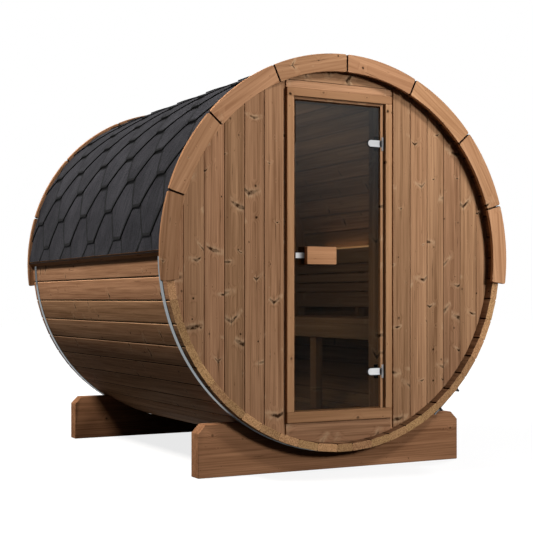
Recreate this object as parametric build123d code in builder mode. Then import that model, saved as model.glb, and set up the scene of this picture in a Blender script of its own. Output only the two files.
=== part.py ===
from build123d import *

import os
from math import asin, cos, hypot, radians, sin, sqrt, tan

os.makedirs("parts", exist_ok=True)

# Barrel sauna, millimetres. +X is right as seen from the door, +Y runs from the door to the back,
# +Z is up, and the origin is on the ground under the middle of the barrel. Angles round the barrel
# are degrees, clockwise from the top as seen from the door. Depths run back from the front fascia.

# Barrel of flat staves
overall_length = 2181.0
full_turn = 360.0
stave_radius = 999.0
stave_thickness = 40.0
stave_joint = 0.5
stave_groove = 3.0
lower_stave_angle = 6.75
lower_staves = 12
bottom_stave_angle = 5.4
upper_staves = 28
crown_staves = 8
ground_clearance = 98.0
seat_clearance = 0.3

# Fascia boards on both ends
fascia_thickness = 22.0
fascia_lap = 19.0
fascia_overhang = 32.0
fascia_boards = 8
fascia_angle = 195.2
fascia_joint = 4.0
fascia_corner = 11.0

# Steel bands and their tensioners
band_width = 34.0
band_thickness = 2.0
band_inset = 44.0
tensioner_angle = 137.7
lug_spacing = 150.0
lug_thickness = 8.0
lug_height = 44.0
rod_diameter = 8.0
rod_rise = 30.0
rod_head = 12.0
rod_tail = 45.0

# Shingle roof and the eave boards that it ends on
roof_thickness = 13.0
eave_rise = 14.0
eave_board_height = 27.0
eave_board_thickness = 27.0
eave_board_foot = 4.0

# Cradles
cradle_length = 1565.0
cradle_height = 262.0
cradle_thickness = 83.0
cradle_chamfer = 42.0
cradle_inset = 96.0

# End walls
wall_recess = 52.6
wall_thickness = 40.0
header_height = 109.0

# Floor
floor_rise = 102.0
floor_thickness = 28.0
bearer_width = 45.0
bearer_count = 3

# Door casing, posts and jambs
casing_width = 632.0
casing_lift = 12.0
casing_side = 40.0
casing_head = 42.0
casing_foot = 55.0
casing_thickness = 22.0
casing_proud = 12.0
post_reveal = 14.0
hinge_reveal = 20.5
latch_reveal = 13.5
lining_width = 45.0
lining_depth = 115.0
head_reveal = 12.0
threshold_drop = 6.0

# Glass door
glass_thickness = 8.0
glass_setback = 1.4
glass_side_gap = 8.0
glass_head_gap = 7.0
glass_foot_gap = 6.0

# Hinges
upper_hinge_inset = 190.0
lower_hinge_inset = 185.0
pin_diameter = 5.0
pin_clearance = 0.05
pin_inset = 1.5
pin_standoff = 5.1
knuckle_diameter = 9.0
knuckle_length = 24.0
knuckle_gap = 0.5
hinge_plate_height = 71.0
hinge_plate_thickness = 4.0
hinge_plate_gap = 1.0
clamp_length = 69.0
clamp_height = 35.0
clamp_thickness = 5.0
clamp_wrap = 2.2

# Handles and latch
handle_length = 172.0
handle_height = 90.0
handle_thickness = 30.0
handle_corner = 5.0
handle_inset = 42.0
handle_level = 860.0
handle_standoff = 16.0
standoff_diameter = 16.0
standoff_spacing = 110.0
latch_length = 60.0
latch_reach = 3.0
latch_height = 28.0
latch_thickness = 6.0

# Bench along the right side, with a slatted back
seat_depth = 631.0
seat_height = 532.0
seat_thickness = 28.0
apron_height = 85.0
apron_thickness = 25.0
leg_width = 67.0
leg_thickness = 45.0
leg_spacing = 580.0
back_gap = 141.0
back_lift = 58.0
edge_slat_height = 92.0
middle_slat_height = 51.0
middle_slats = 3
slat_thickness = 20.0
slat_gap = 8.0
back_post_size = 45.0
back_post_inset = 150.0
back_posts = 3

# Sizes that follow from the barrel
stave_length = overall_length - 2 * fascia_thickness
stave_inner = stave_radius - stave_thickness
upper_pitch = (full_turn - bottom_stave_angle - 2 * lower_staves * lower_stave_angle) / upper_staves
eave_joint_angle = upper_staves * upper_pitch / 2
stave_reach = hypot(stave_radius, stave_radius * tan(radians(upper_pitch / 2)) - stave_groove)
axis_height = ground_clearance + stave_radius
far = 2 * overall_length
band_inner = stave_reach + seat_clearance
band_outer = band_inner + band_thickness
roof_inner = band_outer + seat_clearance
roof_outer = roof_inner + roof_thickness
eave_top = axis_height + eave_rise
fascia_inner = stave_inner - fascia_lap
fascia_outer = stave_radius + fascia_overhang
wall_radius = stave_inner - seat_clearance

# Depths and heights of the end walls, floor and doorway
wall_front = fascia_thickness + wall_recess
wall_back = wall_front + wall_thickness
casing_front = wall_front - casing_proud
post_front = casing_front + casing_thickness
lining_back = post_front + lining_depth
room_length = overall_length - 2 * wall_back
bench_length = overall_length - wall_back - lining_back
floor_top = axis_height - stave_inner + floor_rise
floor_bottom = floor_top - floor_thickness
casing_bottom = floor_top + casing_lift
casing_top = axis_height + wall_radius - header_height
wall_edge = casing_width / 2 + post_reveal
hinge_edge = casing_width / 2 - casing_side - hinge_reveal
latch_edge = casing_width / 2 - casing_side - latch_reveal
opening_width = hinge_edge + latch_edge
opening_middle = (hinge_edge - latch_edge) / 2
opening_top = casing_top - casing_head - head_reveal
threshold_top = casing_bottom + casing_foot - threshold_drop

# Places of the glass, the hinge pin, the handles and the bench
glass_front = post_front + glass_setback
glass_back = glass_front + glass_thickness
glass_edge = hinge_edge - glass_side_gap
glass_free_edge = latch_edge - glass_side_gap
glass_top = opening_top - glass_head_gap
glass_bottom = casing_bottom + casing_foot + glass_foot_gap
hinge_levels = (glass_bottom + lower_hinge_inset, glass_top - upper_hinge_inset)
pin_x = hinge_edge + pin_inset
pin_depth = post_front - pin_standoff
plate_edge = pin_x + knuckle_diameter / 2 + hinge_plate_gap
handle_x = handle_inset + handle_length / 2 - glass_free_edge
handle_z = floor_top + handle_level
seat_top = floor_top + seat_height
seat_bottom = seat_top - seat_thickness


def section(depth):
    # Upright plane across the barrel, facing the door: an extrusion runs towards the front
    return Plane.XZ.offset(overall_length / 2 - depth)


def along(depth):
    return depth - overall_length / 2


def inside_width(height):
    # Half width of the round room at a height above the ground
    return sqrt(wall_radius**2 - (height - axis_height) ** 2)


def save(piece, name):
    piece.part.label = name
    export_step(piece.part, f"parts/{name}.step")


# Staves: flat planks with mitred sides and a small groove at each outer joint
def stave_outline(pitch):
    half = radians(pitch / 2)
    side = stave_joint / 2 / cos(half)
    shoulder = stave_radius - stave_groove
    inner_edge = stave_inner * tan(half) - side
    shoulder_edge = shoulder * tan(half) - side
    outer_edge = stave_radius * tan(half) - side - stave_groove
    return [
        (-inner_edge, stave_inner),
        (inner_edge, stave_inner),
        (shoulder_edge, shoulder),
        (outer_edge, stave_radius),
        (-outer_edge, stave_radius),
        (-shoulder_edge, shoulder),
    ]


def lower_staves_at(first, count, sides):
    foot = full_turn / 2 - bottom_stave_angle / 2
    angles = [foot - (first + step + 1 / 2) * lower_stave_angle for step in range(count)]
    return [(side * angle, lower_stave_angle) for angle in angles for side in sides]


def upper_staves_at(first, count):
    return [((first + step + 1 / 2) * upper_pitch - eave_joint_angle, upper_pitch) for step in range(count)]


lower_third = lower_staves // 3
upper_side = (upper_staves - crown_staves) // 2
stave_groups = {
    "bottom_staves": [(full_turn / 2, bottom_stave_angle)] + lower_staves_at(0, lower_third, (-1, 1)),
    "lower_left_staves": lower_staves_at(lower_third, lower_third, (-1,)),
    "lower_right_staves": lower_staves_at(lower_third, lower_third, (1,)),
    "left_staves": lower_staves_at(2 * lower_third, lower_third, (-1,)),
    "right_staves": lower_staves_at(2 * lower_third, lower_third, (1,)),
    "upper_left_staves": upper_staves_at(0, upper_side),
    "top_staves": upper_staves_at(upper_side, crown_staves),
    "upper_right_staves": upper_staves_at(upper_side + crown_staves, upper_side),
}
for name, staves in stave_groups.items():
    with BuildPart() as stave_group:
        with BuildSketch(section(overall_length - fascia_thickness)):
            for angle, pitch in staves:
                with Locations(Location((0, axis_height, 0), (0, 0, -angle))):
                    Polygon(*stave_outline(pitch), align=None)
        extrude(amount=stave_length)
    save(stave_group, name)

# Fascias: a ring of curved boards on each end, open under the barrel's sides
fascia_end = radians(fascia_angle / 2)
fascia_pitch = fascia_angle / fascia_boards
fascia_foot = [
    (0, 0),
    (far * sin(fascia_end), far * cos(fascia_end)),
    (far * sin(fascia_end), -far),
    (-far * sin(fascia_end), -far),
    (-far * sin(fascia_end), far * cos(fascia_end)),
]
fascia_joints = [step * fascia_pitch - fascia_angle / 2 for step in range(1, fascia_boards)]
for name, depth in (("front_fascia", fascia_thickness), ("rear_fascia", overall_length)):
    with BuildPart() as fascia:
        with BuildSketch(section(depth)) as ring:
            with Locations((0, axis_height)):
                Circle(fascia_outer)
                Circle(fascia_inner, mode=Mode.SUBTRACT)
                Polygon(*fascia_foot, align=None, mode=Mode.SUBTRACT)
            with Locations(*[Location((0, axis_height, 0), (0, 0, -angle)) for angle in fascia_joints]):
                Rectangle(fascia_joint, far, align=(Align.CENTER, Align.MIN), mode=Mode.SUBTRACT)
            fillet(ring.vertices(), fascia_corner)
        extrude(amount=fascia_thickness)
    save(fascia, name)

# Roof: one shell of shingles on each side, from the ridge down to the eave board
for name, side in (("roof_left", Align.MAX), ("roof_right", Align.MIN)):
    with BuildPart() as roof:
        with BuildSketch(section(overall_length - fascia_thickness)):
            with Locations((0, axis_height)):
                Circle(roof_outer)
                Circle(roof_inner, mode=Mode.SUBTRACT)
            with Locations((0, eave_top)):
                Rectangle(far, far, align=(side, Align.MIN), mode=Mode.INTERSECT)
        extrude(amount=stave_length)
    save(roof, name)

# Eave boards: wedges under the shingles' lower edges, sloping in to the staves
eave_outline = [
    (roof_inner, eave_top),
    (roof_inner, eave_top - eave_board_height),
    (roof_inner + eave_board_foot, eave_top - eave_board_height),
    (roof_inner + eave_board_thickness, eave_top),
]
with BuildPart() as right_eave_board:
    with BuildSketch(section(overall_length - fascia_thickness)):
        Polygon(*eave_outline, align=None)
    extrude(amount=stave_length)
save(right_eave_board, "right_eave_board")

with BuildPart() as left_eave_board:
    add(right_eave_board.part)
    mirror(about=Plane.YZ, mode=Mode.REPLACE)
save(left_eave_board, "left_eave_board")

# Bands: split rings round the staves, drawn together by a threaded rod between two lugs
band_back = fascia_thickness + band_inset + band_width
gap_angle = asin((lug_spacing / 2 - lug_thickness) / band_outer)
gap_wedge = [
    (0, 0),
    (-far * sin(gap_angle), far * cos(gap_angle)),
    (far * sin(gap_angle), far * cos(gap_angle)),
]
lug_foot = sqrt(band_outer**2 - (lug_spacing / 2 - lug_thickness / 2) ** 2) + seat_clearance
rod_radius = lug_foot + rod_rise
rod_way = (cos(radians(tensioner_angle)), 0, -sin(radians(tensioner_angle)))
rod_start = -lug_spacing / 2 - rod_head
rod_length = rod_head + lug_spacing + rod_tail
for end, depth in (("front", band_back), ("rear", overall_length - fascia_thickness - band_inset)):
    with BuildPart() as band:
        with BuildSketch(section(depth)):
            with Locations(Location((0, axis_height, 0), (0, 0, -tensioner_angle))):
                Circle(band_outer)
                Circle(band_inner, mode=Mode.SUBTRACT)
                Polygon(*gap_wedge, align=None, mode=Mode.SUBTRACT)
        extrude(amount=band_width)
    save(band, f"{end}_band")

    rod_base = Vector(
        rod_radius * sin(radians(tensioner_angle)) + rod_start * rod_way[0],
        along(depth - band_width / 2),
        axis_height + rod_radius * cos(radians(tensioner_angle)) + rod_start * rod_way[2],
    )
    with BuildPart() as tensioner:
        with BuildSketch(section(depth)):
            with Locations(Location((0, axis_height, 0), (0, 0, -tensioner_angle))):
                with Locations((-lug_spacing / 2, lug_foot), (lug_spacing / 2, lug_foot)):
                    Rectangle(lug_thickness, lug_height, align=(Align.CENTER, Align.MIN))
        extrude(amount=band_width)
        with BuildSketch(Plane(origin=rod_base, z_dir=rod_way)):
            Circle(rod_diameter / 2)
        extrude(amount=rod_length)
    save(tensioner, f"{end}_band_tensioner")

# Cradles: beams with chamfered top corners, hollowed to the barrel
cradle_depth = fascia_thickness + cradle_inset
cradle_outline = [
    (-cradle_length / 2, 0),
    (cradle_length / 2, 0),
    (cradle_length / 2, cradle_height - cradle_chamfer),
    (cradle_length / 2 - cradle_chamfer, cradle_height),
    (cradle_chamfer - cradle_length / 2, cradle_height),
    (-cradle_length / 2, cradle_height - cradle_chamfer),
]
for name, depth in (
    ("front_cradle", cradle_depth + cradle_thickness),
    ("rear_cradle", overall_length - cradle_depth),
):
    with BuildPart() as cradle:
        with BuildSketch(section(depth)):
            Polygon(*cradle_outline, align=None)
            with Locations((0, axis_height)):
                Circle(band_inner, mode=Mode.SUBTRACT)
        extrude(amount=cradle_thickness)
    save(cradle, name)

# Front wall beside, over and under the doorway
for name, side, align in (("front_wall_left", -1, Align.MAX), ("front_wall_right", 1, Align.MIN)):
    with BuildPart() as front_wall:
        with BuildSketch(section(wall_back)):
            with Locations((0, axis_height)):
                Circle(wall_radius)
            with Locations((side * wall_edge, axis_height)):
                Rectangle(far, far, align=(align, Align.CENTER), mode=Mode.INTERSECT)
        extrude(amount=wall_thickness)
    save(front_wall, name)

# The boards over and under the doorway lap onto the posts at the front and fit between them behind
for name, level, align in (
    ("front_wall_header", casing_top, Align.MIN),
    ("front_wall_sill", casing_bottom, Align.MAX),
):
    with BuildPart() as cross_boards:
        for centre, width, depth, thickness in (
            (0, casing_width, post_front, post_front - wall_front),
            (opening_middle, opening_width, wall_back, wall_back - post_front),
        ):
            with BuildSketch(section(depth)):
                with Locations((0, axis_height)):
                    Circle(wall_radius)
                with Locations((centre, level)):
                    Rectangle(width, far, align=(Align.CENTER, align), mode=Mode.INTERSECT)
            extrude(amount=thickness)
    save(cross_boards, name)

# Back wall, one round panel
with BuildPart() as rear_wall:
    with BuildSketch(section(overall_length - wall_front)):
        with Locations((0, axis_height)):
            Circle(wall_radius)
    extrude(amount=wall_thickness)
save(rear_wall, "rear_wall")

# Door posts run the whole height of the wall and are deeper along the opening, where a head and a
# threshold of the same depth join them
for name, side, edge in (("left_door_post", -1, latch_edge), ("right_door_post", 1, hinge_edge)):
    with BuildPart() as door_post:
        with BuildSketch(section(wall_back)):
            with Locations((0, axis_height)):
                Circle(wall_radius)
            with Locations((side * (edge + wall_edge) / 2, axis_height)):
                Rectangle(wall_edge - edge, far, mode=Mode.INTERSECT)
        extrude(amount=wall_back - post_front)
        with BuildSketch(section(lining_back)):
            with Locations((side * (edge + lining_width / 2), casing_bottom)):
                Rectangle(lining_width, casing_top - casing_bottom, align=(Align.CENTER, Align.MIN))
        extrude(amount=lining_back - wall_back)
    save(door_post, name)

for name, bottom, top in (
    ("door_head", opening_top, casing_top),
    ("door_threshold", casing_bottom, threshold_top),
):
    with BuildPart() as cross_jamb:
        with BuildSketch(section(lining_back)):
            with Locations((opening_middle, bottom)):
                Rectangle(opening_width, top - bottom, align=(Align.CENTER, Align.MIN))
        extrude(amount=lining_depth)
    save(cross_jamb, name)

# Casing: a full width head and foot, with the sides butted between them
side_height = casing_top - casing_head - casing_bottom - casing_foot
casing_edge = casing_width / 2 - casing_side / 2
casing_boards = {
    "casing_left": (-casing_edge, casing_bottom + casing_foot, casing_side, side_height),
    "casing_right": (casing_edge, casing_bottom + casing_foot, casing_side, side_height),
    "casing_head": (0, casing_top - casing_head, casing_width, casing_head),
    "casing_foot": (0, casing_bottom, casing_width, casing_foot),
}
for name, (centre, bottom, width, height) in casing_boards.items():
    with BuildPart() as casing_board:
        with BuildSketch(section(post_front)):
            with Locations((centre, bottom)):
                Rectangle(width, height, align=(Align.CENTER, Align.MIN))
        extrude(amount=casing_thickness)
    save(casing_board, name)

# Floor: a boarded deck across the bottom of the barrel, on bearers cut to its curve
with BuildPart() as floor_deck:
    with BuildSketch(section(overall_length - wall_back)):
        Polygon(
            (-inside_width(floor_top), floor_top),
            (-inside_width(floor_bottom), floor_bottom),
            (inside_width(floor_bottom), floor_bottom),
            (inside_width(floor_top), floor_top),
            align=None,
        )
    extrude(amount=room_length)
save(floor_deck, "floor_deck")

bearer_pitch = (room_length - bearer_width) / (bearer_count - 1)
with BuildPart() as floor_bearers:
    for step in range(bearer_count):
        with BuildSketch(section(wall_back + bearer_width + step * bearer_pitch)):
            with Locations((0, axis_height)):
                Circle(wall_radius)
            with Locations((0, floor_bottom)):
                Rectangle(far, far, align=(Align.CENTER, Align.MAX), mode=Mode.INTERSECT)
        extrude(amount=bearer_width)
save(floor_bearers, "floor_bearers")

# Bench: seat, apron and legs
seat_end = inside_width(seat_bottom)
bench_front = seat_end - seat_depth
bench_y = along(lining_back + bench_length / 2)
with BuildPart() as bench_seat:
    with Locations((bench_front + seat_depth / 2, bench_y, seat_bottom + seat_thickness / 2)):
        Box(seat_depth, bench_length, seat_thickness)
save(bench_seat, "bench_seat")

with BuildPart() as bench_apron:
    with Locations((bench_front + apron_thickness / 2, bench_y, seat_bottom - apron_height / 2)):
        Box(apron_thickness, bench_length, apron_height)
save(bench_apron, "bench_apron")

with BuildPart() as bench_legs:
    leg_x = bench_front + apron_thickness + leg_thickness / 2
    for leg_y in (bench_y - leg_spacing / 2, bench_y + leg_spacing / 2):
        with Locations((leg_x, leg_y, floor_top)):
            Box(
                leg_thickness,
                leg_width,
                seat_bottom - floor_top,
                align=(Align.CENTER, Align.CENTER, Align.MIN),
            )
save(bench_legs, "bench_legs")

# Bench back: level slats on posts that stand on the seat
slat_heights = [edge_slat_height] + middle_slats * [middle_slat_height] + [edge_slat_height]
back_face = seat_end - back_gap
back_top = seat_top + back_lift + sum(slat_heights) + (len(slat_heights) - 1) * slat_gap
with BuildPart() as backrest_slats:
    for step, height in enumerate(slat_heights):
        level = seat_top + back_lift + sum(slat_heights[:step]) + step * slat_gap
        with Locations((back_face + slat_thickness / 2, bench_y, level + height / 2)):
            Box(slat_thickness, bench_length, height)
save(backrest_slats, "backrest_slats")

back_post_pitch = (bench_length - 2 * back_post_inset - back_post_size) / (back_posts - 1)
with BuildPart() as backrest_posts:
    for step in range(back_posts):
        post_y = bench_y + (step - (back_posts - 1) / 2) * back_post_pitch
        with Locations((back_face + slat_thickness + back_post_size / 2, post_y, seat_top)):
            Box(
                back_post_size,
                back_post_size,
                back_top - seat_top,
                align=(Align.CENTER, Align.CENTER, Align.MIN),
            )
save(backrest_posts, "backrest_posts")

# Hinge plates: screwed to the right post, each with a pin through a middle knuckle
plate_width = casing_width / 2 - casing_side - seat_clearance - plate_edge
pin_y = along(pin_depth)
post_y_front = along(post_front)
knuckle_radius = knuckle_diameter / 2
with BuildPart() as hinge_plates:
    for level in hinge_levels:
        with BuildSketch(Plane.XY.offset(level - hinge_plate_height / 2)):
            with Locations((plate_edge, post_y_front)):
                Rectangle(plate_width, hinge_plate_thickness, align=(Align.MIN, Align.MAX))
        extrude(amount=hinge_plate_height)
        with BuildSketch(Plane.XY.offset(level - knuckle_length / 2)):
            with Locations((pin_x, pin_y)):
                Circle(knuckle_radius)
                Rectangle(plate_edge - pin_x + hinge_plate_gap, knuckle_radius, align=Align.MIN)
        extrude(amount=knuckle_length)
        with BuildSketch(Plane.XY.offset(level - clamp_height / 2)):
            with Locations((pin_x, pin_y)):
                Circle(pin_diameter / 2)
        extrude(amount=clamp_height)
save(hinge_plates, "hinge_plates")

# Door glass
with BuildPart() as door_glass:
    with BuildSketch(section(glass_back)):
        with Locations((opening_middle, glass_bottom)):
            Rectangle(glass_free_edge + glass_edge, glass_top - glass_bottom, align=(Align.CENTER, Align.MIN))
    extrude(amount=glass_thickness)
save(door_glass, "door_glass")

# Hinge clamps: round ended plates on both faces of the glass, with a knuckle above and below the fixed one
clamp_end = glass_edge - clamp_length
ring_length = (clamp_height - knuckle_length) / 2 - knuckle_gap
clamp_y_front = along(glass_front - clamp_thickness)
with BuildPart() as hinge_clamps:
    for level in hinge_levels:
        for depth in (glass_front, glass_back + clamp_thickness):
            with BuildSketch(section(depth)):
                with Locations((glass_edge + clamp_wrap, level)):
                    straight = clamp_length + clamp_wrap - clamp_height / 2
                    Rectangle(straight, clamp_height, align=(Align.MAX, Align.CENTER))
                with Locations((clamp_end + clamp_height / 2, level)):
                    Circle(clamp_height / 2)
            extrude(amount=clamp_thickness)
        with BuildSketch(section(glass_back)):
            with Locations((glass_edge, level)):
                Rectangle(clamp_wrap, clamp_height, align=(Align.MIN, Align.CENTER))
        extrude(amount=glass_thickness)
        for bottom in (level - clamp_height / 2, level + knuckle_length / 2 + knuckle_gap):
            with BuildSketch(Plane.XY.offset(bottom)):
                with Locations((pin_x, pin_y)):
                    Circle(knuckle_radius)
                with Locations((glass_edge, clamp_y_front)):
                    web_depth = pin_y + knuckle_radius - clamp_y_front
                    Rectangle(pin_x - glass_edge, web_depth, align=Align.MIN)
                with Locations((pin_x, pin_y)):
                    Circle(pin_diameter / 2 + pin_clearance, mode=Mode.SUBTRACT)
            extrude(amount=ring_length)
save(hinge_clamps, "hinge_clamps")

# Handles: a wooden block on two standoffs, outside and inside the glass
outer_block_back = glass_front - handle_standoff
inner_block_back = glass_back + handle_standoff + handle_thickness
for name, block_back, standoff_back in (
    ("outer_handle", outer_block_back, glass_front),
    ("inner_handle", inner_block_back, glass_back + handle_standoff),
):
    with BuildPart() as handle:
        with BuildSketch(section(block_back)):
            with Locations((handle_x, handle_z)):
                RectangleRounded(handle_length, handle_height, handle_corner)
        extrude(amount=handle_thickness)
        with BuildSketch(section(standoff_back)):
            with Locations((handle_x, handle_z)):
                with GridLocations(standoff_spacing, 0, 2, 1):
                    Circle(standoff_diameter / 2)
        extrude(amount=handle_standoff)
    save(handle, name)

# Latch plate on the free edge of the glass
with BuildPart() as door_latch:
    with BuildSketch(section(glass_front)):
        with Locations((-glass_free_edge - latch_reach, handle_z)):
            Rectangle(latch_length, latch_height, align=(Align.MIN, Align.CENTER))
    extrude(amount=latch_thickness)
save(door_latch, "door_latch")
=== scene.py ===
import math
import random

import bmesh
import bpy
from mathutils import Matrix, Vector


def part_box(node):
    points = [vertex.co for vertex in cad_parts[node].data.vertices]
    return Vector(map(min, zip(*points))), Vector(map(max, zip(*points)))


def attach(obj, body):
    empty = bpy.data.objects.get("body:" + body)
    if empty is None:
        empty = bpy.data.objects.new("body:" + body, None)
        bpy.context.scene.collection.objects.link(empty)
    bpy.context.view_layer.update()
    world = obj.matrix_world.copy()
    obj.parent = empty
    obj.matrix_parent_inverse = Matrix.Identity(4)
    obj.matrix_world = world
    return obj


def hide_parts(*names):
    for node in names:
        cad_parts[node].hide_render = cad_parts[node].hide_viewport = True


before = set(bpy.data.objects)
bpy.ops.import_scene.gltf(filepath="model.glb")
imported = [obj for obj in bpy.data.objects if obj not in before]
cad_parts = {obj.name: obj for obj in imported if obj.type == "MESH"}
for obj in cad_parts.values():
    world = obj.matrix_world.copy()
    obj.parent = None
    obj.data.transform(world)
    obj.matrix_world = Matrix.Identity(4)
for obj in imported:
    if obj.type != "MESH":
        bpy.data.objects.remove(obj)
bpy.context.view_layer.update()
scene = bpy.context.scene

# the barrel's axis runs along Y, at the height of the fascia ring's middle
fasciaLow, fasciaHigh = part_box("front_fascia")
axisHeight = fasciaHigh.z - (fasciaHigh.x - fasciaLow.x) / 2
barrelAxis = Vector((0, 0, axisHeight))
print("frame loaded, barrel axis at", round(axisHeight, 4))


# colours are written as screen values, 0 to 255
def paint(red, green, blue):
    shares = []
    for value in (red, green, blue):
        share = value / 255
        shares.append(share / 12.92 if share <= 0.04045 else ((share + 0.055) / 1.055) ** 2.4)
    return (*shares, 1.0)


# node helpers

def addNode(tree, kind, feeds=None, **settings):
    node = tree.nodes.new(kind)
    for key, value in settings.items():
        setattr(node, key, value)
    for socket, value in (feeds or {}).items():
        if isinstance(value, bpy.types.NodeSocket):
            tree.links.new(value, node.inputs[socket])
        else:
            node.inputs[socket].default_value = value
    return node


def calc(tree, operation, first, second=0.0):
    return addNode(tree, "ShaderNodeMath", {0: first, 1: second}, operation=operation).outputs[0]


def ramp(tree, value, start, end, low=0.0, high=1.0, smooth=True):
    feeds = {"Value": value, "From Min": start, "From Max": end, "To Min": low, "To Max": high}
    kind = "SMOOTHSTEP" if smooth else "LINEAR"
    return addNode(tree, "ShaderNodeMapRange", feeds, interpolation_type=kind).outputs[0]


def blendColour(tree, share, first, second, way="MIX"):
    node = addNode(tree, "ShaderNodeMix", {0: share, 6: first, 7: second}, data_type="RGBA", blend_type=way)
    return node.outputs[2]


def noise(tree, place, along, across, seed, detail=2.0, rough=0.5):
    stretch = addNode(tree, "ShaderNodeVectorMath", {0: place, 1: (along, across, across)},
                      operation="MULTIPLY")
    feeds = {"Vector": stretch.outputs[0], "W": seed, "Scale": 1.0, "Detail": detail, "Roughness": rough}
    return addNode(tree, "ShaderNodeTexNoise", feeds, noise_dimensions="4D").outputs[0]


def startFinish(name):
    finish = bpy.data.materials.new(name)
    finish.use_nodes = True
    tree = finish.node_tree
    return finish, tree, tree.nodes["Principled BSDF"]


def addBump(tree, shader, height, strength, deep):
    bump = addNode(tree, "ShaderNodeBump", {"Height": height, "Strength": strength, "Distance": deep})
    tree.links.new(bump.outputs[0], shader.inputs["Normal"])


# finishes

knotForm = {"seedStep": 7.3, "scatter": 0.85, "leastHalf": 0.0012, "leastThick": 0.0022,
            "crackLong": (0.0005, 0.09), "crackHalf": 0.0016}


# knots, one to a cell: two arms rise from its middle to both sides, with the cell's own size, rise and skew
def knotReach(tree, along, across, seed, knots):
    perAlong, perAcross = knots["perMetre"]
    cellAlong = calc(tree, "ADD", calc(tree, "MULTIPLY", along, perAlong),
                     calc(tree, "MULTIPLY", seed, knotForm["seedStep"]))
    cellAcross = calc(tree, "ADD", calc(tree, "MULTIPLY", across, perAcross), seed)
    place = addNode(tree, "ShaderNodeCombineXYZ", {0: cellAlong, 1: cellAcross}).outputs[0]
    spread = {"Vector": place, "Scale": 1.0, "Randomness": knotForm["scatter"]}
    cells = addNode(tree, "ShaderNodeTexVoronoi", spread, voronoi_dimensions="2D")
    away = addNode(tree, "ShaderNodeVectorMath", {0: place, 1: cells.outputs["Position"]},
                   operation="SUBTRACT")
    offset = addNode(tree, "ShaderNodeSeparateXYZ", {0: away.outputs[0]}).outputs
    lengthwise = calc(tree, "DIVIDE", offset[0], perAlong)
    sideways = calc(tree, "DIVIDE", offset[1], perAcross)
    draws = addNode(tree, "ShaderNodeSeparateColor", {0: cells.outputs["Color"]}).outputs
    rise = ramp(tree, draws[0], 0, 1, *knots["rise"], smooth=False)
    skew = ramp(tree, draws[1], 0, 1, -knots["skew"], knots["skew"], smooth=False)
    half = ramp(tree, draws[2], 1 - knots["share"], 1, knotForm["leastHalf"], knots["half"], smooth=False)
    bend = calc(tree, "ADD", calc(tree, "MULTIPLY", calc(tree, "ABSOLUTE", sideways), rise),
                calc(tree, "MULTIPLY", sideways, skew))
    thick = calc(tree, "ADD", calc(tree, "MULTIPLY", half, knots["stout"]), knotForm["leastThick"])
    armReach = addNode(tree, "ShaderNodeCombineXYZ", {
        0: calc(tree, "DIVIDE", calc(tree, "SUBTRACT", lengthwise, bend), thick),
        1: calc(tree, "DIVIDE", sideways, half),
    }).outputs[0]
    reach = addNode(tree, "ShaderNodeVectorMath", {0: armReach}, operation="LENGTH").outputs["Value"]
    # a thin dark crack runs along the board through some of the knots
    crackLong = ramp(tree, draws[0], knots["cracked"], 1, *knotForm["crackLong"], smooth=False)
    crackReach = addNode(tree, "ShaderNodeCombineXYZ", {
        0: calc(tree, "DIVIDE", lengthwise, crackLong),
        1: calc(tree, "DIVIDE", sideways, knotForm["crackHalf"]),
    }).outputs[0]
    crack = addNode(tree, "ShaderNodeVectorMath", {0: crackReach}, operation="LENGTH").outputs["Value"]
    return reach, crack


# grain: how fine each pattern is along and across a board, and how strongly it shows
grainForm = {
    "seedSpan": 53.0, "wander": (1.1, 5.0), "sway": (9, 9), "swayWide": 0.016, "ragged": (90, 120),
    "raggedDeep": 0.8, "patch": (42, 42), "patchEdge": (0.40, 0.56), "patchCore": (0.25, 1.0),
    "patchPale": (1.0, 0.35), "armEdge": (1.25, 0.7), "armShows": 0.4, "coreEdge": (0.95, 0.5),
    "haloEdge": (5.0, 0.9), "paleEdge": (2.8, 1.1), "crackEdge": (1.0, 0.4), "crackShows": 0.75,
    "ringPush": 0.008, "ringDarkens": (0.30, 0.88), "ringEnds": (0.90, 1.0),
    "broadAlong": 0.9, "fineAlong": 3.0, "fineTimes": 4, "fibre": (16, 620), "fibreShows": 0.35,
    "hue": 0.4962, "hueSpread": 0.0048, "roughSpread": 0.08, "specular": 0.005,
    "fibreHeight": 0.6, "ringHeight": 0.3, "knotHeight": 0.3, "bump": 0.45, "bumpDeep": 0.0007,
}


# noise about zero
def drift(tree, place, along, across, seed, detail=2.0):
    return calc(tree, "SUBTRACT", noise(tree, place, along, across, seed, detail=detail), 0.5)


def scaled(tree, value, share):
    return calc(tree, "MULTIPLY", value, share)


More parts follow.
